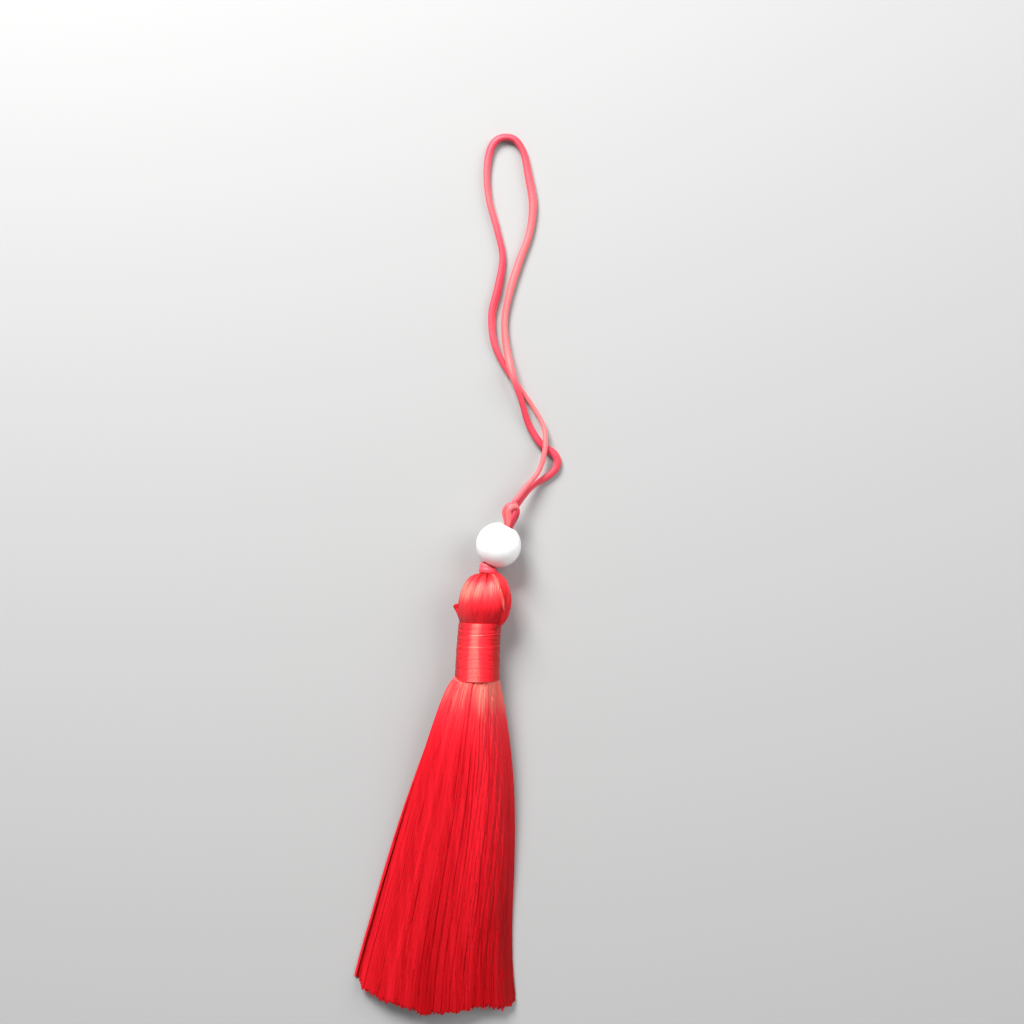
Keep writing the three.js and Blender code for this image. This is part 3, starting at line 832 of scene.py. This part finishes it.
class TASSEL_OT_tie(bpy.types.Operator):
    """Winds the tie round the top of the hank, with the doubled cord up into the bead"""

    bl_idname = "tassel.tie"
    bl_label = "Tie"

    def execute(self, context):
        stations = 160
        angle = np.linspace(0, FULL_TURN * 1.04, stations) - math.pi * 0.55
        strands, hints = [], []
        for centre, tilt, radius in (
            (np.array([2.02, 17.85, 5.1]) * MM, 0.06, 1.45 * MM),
            (BEAD_CENTRE - BEAD_AXIS * 5.45 * MM, 0.35, 1.16 * MM),
        ):
            side = np.array([math.cos(tilt), -math.sin(tilt), 0])
            outward = np.cos(angle)[:, None] * side + np.sin(angle)[:, None] * UP
            pull = 1 - 0.35 * np.exp(-((angle - angle[0]) / 0.35) ** 2)
            pull -= 0.35 * np.exp(-((angle - angle[-1]) / 0.35) ** 2)
            strands.append(centre + outward * (radius * pull)[:, None])
            hints.append(outward)
        for lane in (-1, 1):
            side = np.array([1.0, -0.3, 0]) * lane * 0.45 * MM
            run = [
                np.array([1.95, 16.2, 5.0]) * MM + side,
                np.array([1.97, 17.8, 5.0]) * MM + side,
                BEAD_CENTRE - BEAD_AXIS * 5.0 * MM + side,
                BEAD_CENTRE - BEAD_AXIS * 3.2 * MM + side,
            ]
            strands.append(smooth_through(run, stations))
            hints.append(np.broadcast_to(UP, (stations, 3)))
        tones = np.repeat([0.45, 0.6, 0.5, 0.5], stations)
        tie = cord_piece(
            "tie_cord", np.array(strands), np.array(hints), 0.74 * MM, 0.52 * MM, 18, tones,
            context.scene.tassel_cord,
        )
        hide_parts("top_tie")
        return {"FINISHED"}


def pleat_turn(angle):
    """How far on in its own wave each place round the head is: eleven pleats, unevenly wide."""
    return 11 * angle + 0.8 * np.sin(3 * angle)


def head_place(share, angle):
    """A point of the gathered head at a share of the way down from its top and an angle round it.
    Its radius and height follow the outline. Narrow creases between round pleats deepen towards the
    tie, and the form is pressed flat where it meets the table.
    """
    along = lengths_along(np.stack([HEAD_OUTLINE["y"], HEAD_OUTLINE["radius"]], axis=1))
    y, radius = (
        smooth_between(share, along / along[-1], HEAD_OUTLINE[column]) * MM
        for column in ("y", "radius")
    )
    fade = np.clip((0.46 - share) / 0.34, 0, 1) ** 1.3
    rim = np.clip(share / 0.12, 0, 1)
    wide = 0.5 - 0.5 * np.cos(pleat_turn(angle))
    fine = 0.5 - 0.5 * np.cos(27 * angle + 1)
    pleats = 0.5 - 1.8 * wide**5 - 0.7 * fine**3
    crease = 0.98 - 0.9 * np.clip(share - 0.2, 0, 1)
    dip = np.exp(-(((angle - crease) / 0.16) ** 2)) * np.clip(1.4 - 1.4 * share, 0, 1)
    radius = radius * (1 + (0.11 * pleats * fade - 0.12 * dip) * rim)
    return about_hank(y, radius, angle, 0.12 * MM)


class TASSEL_OT_head(bpy.types.Operator):
    """Gathers the silk over the head: its folds, the threads on them, a fold that hangs over the
    binding, a thin twisted lock and a tuft of short ends
    """

    bl_idname = "tassel.head"
    bl_label = "Head"

    def execute(self, context):
        settings = context.scene.tassel_silk
        material = silk("Gathered silk", settings, 0.45, 1.42)
        self.fold_core(material)
        rng = np.random.default_rng(11)
        groups = [
            self.covering(settings, rng),
            bundle(
                SHOULDER_FOLD, 170, 1.45, 1.5, 0.35, settings.thread, rng, pinch=0.45, tone=0.64
            ),
            # Painted highlight: the twisted lock is drawn light, toward the pale sheen stop.
            bundle(TWISTED_LOCK, 34, 0.46, 0.38, 2.2, settings.thread, rng, pinch=0.75, tone=1.0),
            self.tuft(settings, rng),
        ]
        paths = np.concatenate([group[0] for group in groups])
        hints = np.concatenate([group[1] for group in groups])
        radii = np.concatenate([group[2] for group in groups])
        tones = np.concatenate([group[3] + np.zeros(paths.shape[1]) for group in groups])
        radii = radii[:, None, None]
        rings = rings_along(paths, hints, radii * 1.3, radii * 0.85, 3)
        head = tubes_piece("head_threads", paths, rings, material, tones)
        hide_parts("tassel_silk")
        return {"FINISHED"}

    def fold_core(self, material):
        """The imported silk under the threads: the head's form, a little smaller, as one closed
        surface with a pole at the top and one inside the neck.
        """
        rows, sides = 120, 160
        share, angle = np.meshgrid(
            np.linspace(0.004, 1, rows), np.arange(sides) / sides * FULL_TURN, indexing="ij"
        )
        points = head_place(share, angle)
        points = points - 0.035 * out_of_hank(points)
        faces, corner_map = tube_grid(np.linspace(0, 20 * MM, rows)[None], sides)
        faces = [kind[:, ::-1] for kind in faces]
        # Painted shade: the core is drawn near the shadow colour, so the gaps between the threads
        # over it read as shade.
        tones = np.full(rows * sides, 0.12)
        core = new_piece(
            "head_folds", points.reshape(-1, 3), faces, corner_map, material, tones
        )
        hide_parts("tassel_silk")

    def covering(self, settings, rng):
        """Threads from the tie over the head into the binding. They draw together on the pleats'
        ridges near the tie and lie evenly over the rest.
        """
        count, stations = settings.head_threads, 26
        share = 0.03 + 0.97 * shares_along(stations)[None]
        angle = (np.arange(count)[:, None] + rng.uniform(-0.4, 0.4, (count, 1))) / count * FULL_TURN
        swing = np.sin(pleat_turn(angle))
        gather = 0.06 * swing * np.clip((0.42 - share) / 0.34, 0, 1)
        drift = rng.normal(0, 0.014, (count, 1)) * np.sin(share * math.pi)
        drift = drift + 0.12 * (share - 0.5)
        place = head_place(np.repeat(share, count, 0), angle - gather + drift)
        place = place + rng.uniform(-0.003, 0.003, (count, 1, 1)) * out_of_hank(place)
        place[..., 2] = np.maximum(place[..., 2], settings.thread)
        hints = out_of_hank(place) + np.array([0, 1e-5, 0])
        # Painted light: a salmon band of painted sheen over the dome, strongest on the left, and
        # painted shade in the creases between the pleats near the tie.
        reach = np.where(share < 0.45, 0.2, 0.27)
        sheen = np.exp(-(((share - 0.45) / reach) ** 2)) * (0.6 - 0.22 * np.cos(angle))
        painted_crease_shade = (0.5 - 0.5 * np.cos(pleat_turn(angle))) ** 3
        painted_crease_shade = 0.5 * painted_crease_shade * np.clip((0.52 - share) / 0.34, 0, 1)
        tones = rng.normal(0.42, 0.07, (count, 1)) + sheen - painted_crease_shade
        return place, hints, np.full(count, settings.thread), np.clip(tones, 0, 1.25)

    def tuft(self, settings, rng):
        """Short cut ends that stick out of the head's left side as a ragged wedge. Each leaves the
        binding's edge upwards and bends away to the left, the outer ones furthest.
        """
        count, stations = 150, 26
        share = shares_along(stations)[None, :, None]
        inward = rng.uniform(0, 1, (count, 1, 1))
        depth = rng.uniform(-1, 1, (count, 1, 1)) * np.array([0, 0, 1])
        root, knee, tip = (near + (far - near) * inward for near, far in TUFT_EDGES)
        tip = tip + rng.normal(0, 0.12, (count, 1, 3))
        place = (1 - share) ** 2 * root + 2 * share * (1 - share) * knee + share**2 * tip
        place = (place + depth * (0.9 - 0.5 * share)) * MM
        tones = np.clip(rng.normal(0.75, 0.1, (count, 1)), 0, 1)
        hints = np.broadcast_to(UP, place.shape)
        return place, hints, np.full(count, settings.thread * 0.95), tones


def bundle(
    route, count, wide, high, turns, thread, rng, pinch, stations=26, ragged=0.0, tone=0.5
):
    """A lock of threads along a route: each keeps its place in a round section that is drawn in at
    both ends by pinch, and that turns about the route as it goes. Threads stop short of the
    route's end by up to the ragged share of its length.
    """
    path = smooth_through(route * MM, stations)
    side, up = frames_along(path[None], UP)
    share = shares_along(stations)
    across, rise = sunflower(count)
    full = 1 - pinch * (1 - np.sin(math.pi * share) ** 0.7)
    a, b = turned(across[:, None], rise[:, None], turns * FULL_TURN * share)
    a, b = a * full * wide * MM, b * full * high * MM
    place = path + a[..., None] * side + b[..., None] * up
    reach = 1 - ragged * rng.uniform(0, 1, count) ** 2
    place = along_share(place, share[None] * reach[:, None])
    place[..., 2] = np.maximum(place[..., 2], thread)
    tones = np.clip(rng.normal(tone, 0.09, (count, 1)), 0, 1.2)
    return place, np.broadcast_to(UP, place.shape), np.full(count, thread), tones


def along_share(paths, share):
    """The points of paths at the given shares of their stations, on straight lines between them."""
    at = share * (paths.shape[1] - 1)
    row = np.minimum(at.astype(int), paths.shape[1] - 2)
    part = (at - row)[..., None]
    thread = np.arange(len(paths))[:, None]
    return paths[thread, row] * (1 - part) + paths[thread, row + 1] * part


class TASSEL_OT_binding(bpy.types.Operator):
    """Winds the thread round the neck"""

    bl_idname = "tassel.binding"
    bl_label = "Neck binding"

    steps_round = 84
    radius = 4.62 * MM
    flare = 0.26 * MM
    lowest = 0.16 * MM

    def execute(self, context):
        settings = context.scene.tassel_silk
        material = silk("Binding thread", settings, 0.38, 1.38, 0.3)
        low, high = BINDING_LOW[1], BINDING_HIGH[1]
        thread = settings.winding * 0.56
        wound = high - low - 2 * thread
        turns = round(wound / settings.winding)
        rng = np.random.default_rng(5)
        turn = np.linspace(0, turns, turns * self.steps_round + 1)
        y = low + thread + wound * turn / turns + smooth_noise(turn, 1.7, rng) * 0.05 * MM
        lift = smooth_noise(turn, 2.3, rng) * 0.03 * MM + smooth_noise(turn, 0.7, rng) * 0.015 * MM
        flare = self.flare * (1 - turn / turns) ** 1.5
        path = about_hank(y, self.radius + flare + lift, turn * FULL_TURN, self.lowest)[None]
        # The winding's tone carries painted sheen and painted shade from sheen().
        tones = 0.45 + self.sheen(turn)
        self.lay("neck_winding", path, thread * 1.08, thread, tones, material)
        turn, laps = self.cross_turns(rng, low, high, thread)
        tones = np.linspace(0.32, 0.62, len(laps))[:, None] + self.sheen(turn)
        self.lay("neck_laps", laps, thread, thread * 0.8, tones, material)
        return {"FINISHED"}

    def lay(self, name, paths, wide, high, tones, material):
        """One piece of six-sided threads along the paths, flat against the neck."""
        rings = rings_along(paths, out_of_hank(paths), wide, high, 6)
        piece = tubes_piece(name, paths, rings, material, tones)
        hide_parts("neck_binding")

    def cross_turns(self, rng, low, high, thread):
        """Single turns that slant a little over the others, as the last wraps do: how far round
        they go, and their paths.
        """
        laps = 9
        start = rng.uniform(low + 1.2 * MM, high - 1.2 * MM, laps)[:, None]
        phase = rng.uniform(0, 1, laps)[:, None]
        share = np.linspace(0, 1, 110)[None]
        slant = rng.uniform(-0.55, 0.55, laps)[:, None] * MM
        y = start + slant * (share - 0.5) * 2
        dip = np.clip(np.minimum(share, 1 - share) / 0.08, 0, 1)
        radius = 4.6 * MM + thread * 0.9 * dip
        turn = phase + share
        return turn, about_hank(y, radius, turn * FULL_TURN, self.lowest)

    def sheen(self, turn):
        """How much lighter the winding is drawn left of its middle, as a soft band of painted sheen
        along the neck, and how much darker towards both edges, as painted shade.
        """
        across = np.cos(turn * FULL_TURN)
        band = 0.6 * np.exp(-(((across + 0.15) / 0.5) ** 2))
        return band - 0.28 * np.clip((np.abs(across + 0.1) - 0.6) / 0.3, 0, 1)


def smooth_noise(at, pitch, rng):
    """A wandering value between about -1 and 1: random numbers a pitch apart, joined smoothly."""
    places = np.arange(at.min() - 2 * pitch, at.max() + 2 * pitch, pitch)
    return smooth_between(at, places, rng.uniform(-1, 1, len(places)))


def fan_at(y):
    """The skirt's middle and half its width at heights y."""
    left, right = (smooth_between(y / MM, FAN["y"], FAN[edge]) * MM for edge in ("left", "right"))
    return (left + right) / 2, (right - left) / 2


def match_ends(roots, ends):
    """The order of ends in which no two locks cross: two locks trade ends wherever the lines
    between their roots and between their ends point against each other.
    """
    order = np.arange(len(roots))
    traded = True
    while traded:
        traded = False
        for lock in range(len(roots)):
            apart = (roots[lock] - roots) * (ends[order[lock]] - ends[order])
            worst = int(np.argmin(apart.sum(axis=1)))
            if apart[worst].sum() < -1e-12:
                order[lock], order[worst] = order[worst], order[lock]
                traded = True
    return order


class TASSEL_OT_skirt(bpy.types.Operator):
    """Fans out the skirt of cut threads"""

    bl_idname = "tassel.skirt"
    bl_label = "Skirt"

    stations = 17
    root_y = -5.6 * MM
    root_radius = 4.2 * MM
    root_half = fan_at(root_y)[1]
    root_z = hank_line(root_y)[1]
    end_half = fan_at(-78.3 * MM)[1]
    pitch_across = 0.92 * MM
    pitch_up = 0.78 * MM
    lowest_row = 0.22 * MM
    under_top = 0.22 * MM
    noise_width = 18  # about half the fan's width in millimetres

    def execute(self, context):
        settings = context.scene.tassel_silk
        material = silk("Silk", settings, settings.roughness, 1.25)
        rng = np.random.default_rng(3)
        paths, radii, tones = self.threads(settings, rng)
        for number, name in enumerate(("skirt_first", "skirt_second")):
            share = slice(number, None, 2)
            self.lay(name, paths[share], radii[share], tones[share], material)
        self.lay("skirt_top", *self.top_threads(settings, rng), material)
        self.lay("skirt_strays", *self.strays(settings, rng), material)
        return {"FINISHED"}

    def lay(self, name, paths, radii, tones, material):
        """One piece of three-sided threads along the paths, wider than they are high."""
        rings = rings_along(paths, UP, radii[..., None] * 1.45, radii[..., None] * 0.8, 3)
        piece = tubes_piece(name, paths, rings, material, tones)
        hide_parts("tassel_silk")

    def strays(self, settings, rng):
        """The stray lock on the table at the fan's left edge, drawn lighter as a painted highlight,
        the hidden threads between it and the fan, drawn in the shadow colour as painted shade, and
        a few loose threads that wander over the fan.
        """
        thread, stations = settings.thread, 34
        stray, _, _, tone = bundle(
            STRAY_LOCK, 20, 0.3, 0.26, 0.4, thread, rng, 0.25, stations, ragged=0.03
        )
        under, _, _, _ = bundle(
            STRAY_LOCK + STRAY_SHADE, 34, 0.8, 0.12, 0, thread, rng, 0.3, stations, ragged=0.05
        )
        loose, _, loose_tone = self.top_threads(settings, rng, 40, stations, 0.08)
        paths = np.concatenate([stray, under, loose])
        # Painted light: the stray lock is lifted to a lighter tone as a painted highlight along its
        # rim, and the hidden threads take tone 0, the shadow colour, as painted shade.
        tone = np.concatenate([np.minimum(tone + 0.25, 1), np.zeros((len(under), 1))])
        tone = np.concatenate([np.repeat(tone, stations, axis=1), loose_tone])
        return paths, np.full(paths.shape[:2], thread * 0.9), tone

    def ends(self):
        """Places of the locks' cut ends across the fan, in level rows one over the other, each
        centred on the fan, with each lock's row.
        """
        places, rows = [], []
        for row, width in enumerate(THREAD_ROWS["width"]):
            count = int(2 * (self.end_half - 0.4 * MM) * width / self.pitch_across)
            x = (np.arange(count + 1) - count / 2) * self.pitch_across
            height = np.full_like(x, self.lowest_row + row * self.pitch_up)
            places.append(np.stack([x, height], axis=1))
            rows.append(np.full(count + 1, row))
        return np.concatenate(places), np.concatenate(rows)

    def threads(self, settings, rng):
        """Every thread of the skirt. A lock runs from its place in the neck to its place in its row
        as the fan opens, and its threads spread about it from a round root to fill its share of the
        row, draw in a little at the cut end, and are longest in the lock's middle.
        """
        ends, rows = self.ends()
        locks, each = len(ends), settings.threads_per_lock
        roots = np.stack(sunflower(locks), axis=1) * self.root_radius
        roots[:, 1] += self.root_z
        order = match_ends(roots, ends)
        ends, rows = ends[order], rows[order]
        spin = rng.uniform(0, FULL_TURN, locks)[:, None]
        a, b = (spread[:, :, None] for spread in turned(*sunflower(each), spin))

        cut = np.interp(ends[:, 0] / self.end_half, CUT_LINE["across"], CUT_LINE["y"])
        cut = cut + np.array(THREAD_ROWS["shorter"])[rows] + rng.normal(0, 0.33, locks)
        tip = cut[:, None, None] + 1.2 * np.abs(a) + rng.uniform(-0.25, 0.35, (locks, each, 1))
        share = shares_along(self.stations)[None, None]
        along = share**1.5
        y = self.root_y + (tip * MM - self.root_y) * along
        middle, half = fan_at(y)
        opened, settled = self.opened(half)

        def waves(shape, most):
            size = rng.normal(0, 1, shape)
            return size * np.sin(share * math.pi * rng.uniform(1, most, shape))

        root_x, root_z = (roots[:, axis, None, None] for axis in range(2))
        end_x, end_z = (ends[:, axis, None, None] for axis in range(2))
        tight = 1 - 0.4 * np.clip((share - 0.86) / 0.14, 0, 1) ** 2
        cell_x = between(0.62 * MM, self.pitch_across, opened) * tight
        cell_z = between(0.55 * MM, 0.8 * self.pitch_up, settled)
        sway = 0.13 * waves((locks, 1, 1), 3) + 0.07 * waves((locks, each, 1), 4)
        sway = sway * MM * np.clip(share * 3, 0, 1)
        x = between(root_x, end_x, opened) + a * cell_x + sway
        edge = half - rng.uniform(0, 0.5, (locks, each, 1)) * MM * opened
        x = middle + np.clip(x, -edge, edge)
        z = between(root_z, end_z, settled) + b * cell_z
        z = z + rng.normal(0, 0.05, (locks, 1, 1)) * MM * share
        z = np.minimum(z, self.roof((x - middle) / half, y, half) - self.under_top)
        paths, radius = self.rest(settings, x, y, z, along)
        tone = 0.5 + 0.06 * rng.normal(0, 1, (locks, 1)) + 0.09 * rng.normal(0, 1, (locks, each))
        tone = tone + 0.07 * smooth_noise(ends[:, 0] / MM, 2.6, rng)[:, None]
        paths, radius = paths.reshape(-1, self.stations, 3), radius.reshape(-1, self.stations)
        return paths, radius, np.clip(tone, 0.2, 1).ravel()

    def rest(self, settings, x, y, z, along):
        """The threads' points, on the table where they would go under it, and their radius there:
        packed in the neck and full at the cut end.
        """
        radius = between(settings.packed_thread, settings.thread, along)
        radius = np.broadcast_to(radius, z.shape)
        return np.stack([x, y, np.maximum(z, radius * 1.02)], axis=-1), radius

    def top_threads(self, settings, rng, count=None, stations=26, wander=0.012):
        """Threads combed over the top of the fan, from its left edge to its right. Their heights
        follow the ridge line as a flattened arch, with low folds that run along the fan and a few
        short creases, and their tips follow the cut line in small ragged teeth.
        """
        count = count or settings.top_threads
        share = shares_along(stations)[None]
        order = (np.arange(count)[:, None] + 0.5) / count * 2 - 1
        start = np.clip(order + rng.normal(0, 0.004, (count, 1)), -1, 1)
        finish = np.clip(start + rng.normal(0, wander, (count, 1)), -1, 1)
        teeth = smooth_noise(finish.ravel() * self.noise_width, 0.75, rng)[:, None]
        cut = np.interp(finish, CUT_LINE["across"], CUT_LINE["y"])
        low = np.interp(np.abs(finish), THREAD_ROWS["width"][::-1], THREAD_ROWS["shorter"][::-1])
        cut = cut + low + np.abs(teeth) + rng.uniform(-0.3, 0.3, (count, 1))
        along = share**1.35
        y = self.root_y + (cut * MM - self.root_y) * along
        middle, half = fan_at(y)
        sway = wander * 0.35 * np.sin(share * rng.uniform(3, 9, (count, 1)) + 6 * order)
        across = np.clip(start + (finish - start) * share + sway, -1, 1)
        dome = np.sqrt(1 - across**2)
        folds = 0.08 * np.sin(across * half / MM * 3.1 + y / MM * 0.05 + 2 * np.sin(9 * across))
        folds += 0.04 * np.sin(across * half / MM * 7.3 - y / MM * 0.04)
        z = self.roof(across, y, half)
        z = z + (folds - self.creases(across, y, rng)) * MM * dome
        z = z + rng.uniform(-0.03, 0.03, (count, 1)) * MM
        paths, radius = self.rest(settings, middle + half * across, y, z, along)
        bands = order.ravel() * self.noise_width
        tone = 0.50 + 0.06 * smooth_noise(bands, 1.6, rng)
        tone = tone + 0.07 * smooth_noise(bands, 4.2, rng)
        tone = tone[:, None] + rng.normal(0, 0.04, (count, 1))
        # Painted light: a pale painted sheen just below the neck, a little painted light on the
        # right of the upper skirt, and painted shade that deepens towards the cut end, most on the
        # right.
        tone = tone + 0.56 * np.exp(-(((y / MM + 6.5) / 10.5) ** 2)) * (1 + 0.1 * across)
        tone = tone + 0.04 * np.clip(across, 0, 1) * np.clip((y / MM + 40) / 20, 0, 1)
        tone = tone - 0.22 * np.clip((-y / MM - 30) / 50, 0, 1) * (1 + 0.84 * across)
        return paths, radius, np.clip(tone, 0.2, 1.2)

    def opened(self, half):
        """How far the fan has opened where it is so wide, from 0 at the neck to 1 at its end, and
        how far it has settled on the table, which is sooner.
        """
        share = (half - self.root_half) / (self.end_half - self.root_half)
        return share, np.clip(share * 1.25, 0, 1)

    def roof(self, across, y, half):
        """The height of the fan's smooth top at a share of the way to its edge: half an ellipse
        that stands on the neck's middle at the roots and comes down to the table as the fan opens.
        """
        side = between(self.root_z, 0.2 * MM, self.opened(half)[1])
        top = smooth_between(y / MM, SKIRT_TOP["y"], SKIRT_TOP["z"]) * MM
        return side + (top - side) * np.sqrt(1 - np.clip(across, -1, 1) ** 2)

    def creases(self, across, y, rng):
        """How deep the threads dip into short creases, each a narrow valley that fades at both
        ends.
        """
        depth = np.zeros(across.shape)
        for _ in range(20):
            place, start = rng.uniform(-0.85, 0.6), rng.uniform(-55, -9)
            reach = rng.uniform(4, 13)
            ends = np.exp(-(((y / MM - start) / reach) ** 2))
            depth += 0.22 * ends * np.exp(-(((across - place) * 70) ** 2))
        return np.minimum(depth, 0.3)


class VIEW3D_PT_tassel(bpy.types.Panel):
    """Lists the tassel's pieces and settings"""

    bl_label = "Tassel"
    bl_space_type = "VIEW_3D"
    bl_region_type = "UI"
    bl_category = "Tassel"

    def draw(self, context):
        for operator in OPERATORS:
            self.layout.operator(operator.bl_idname)
        for name, group in SETTINGS.items():
            box = self.layout.box()
            for setting in group.__annotations__:
                box.prop(getattr(context.scene, name), setting)


OPERATORS = (
    TASSEL_OT_stage,
    TASSEL_OT_loop,
    TASSEL_OT_knot,
    TASSEL_OT_bead,
    TASSEL_OT_tie,
    TASSEL_OT_head,
    TASSEL_OT_binding,
    TASSEL_OT_skirt,
)
SETTINGS = {
    "tassel_silk": SilkSettings,
    "tassel_cord": CordSettings,
    "tassel_bead": BeadSettings,
    "tassel_stage": StageSettings,
}


def register():
    """Registers the settings, the operators and the panel."""
    for kind in (*SETTINGS.values(), *OPERATORS, VIEW3D_PT_tassel):
        bpy.utils.register_class(kind)
    for name, group in SETTINGS.items():
        setattr(bpy.types.Scene, name, PointerProperty(type=group))


def unregister():
    """Removes them again."""
    for name in SETTINGS:
        delattr(bpy.types.Scene, name)
    for kind in (VIEW3D_PT_tassel, *reversed(OPERATORS), *SETTINGS.values()):
        bpy.utils.unregister_class(kind)


def main():
    """Makes the stage and every piece."""
    register()
    bpy.ops.tassel.stage()
    bpy.ops.tassel.loop()
    bpy.ops.tassel.knot()
    bpy.ops.tassel.bead()
    bpy.ops.tassel.tie()
    bpy.ops.tassel.head()
    bpy.ops.tassel.binding()
    bpy.ops.tassel.skirt()


if __name__ == "__main__":
    main()
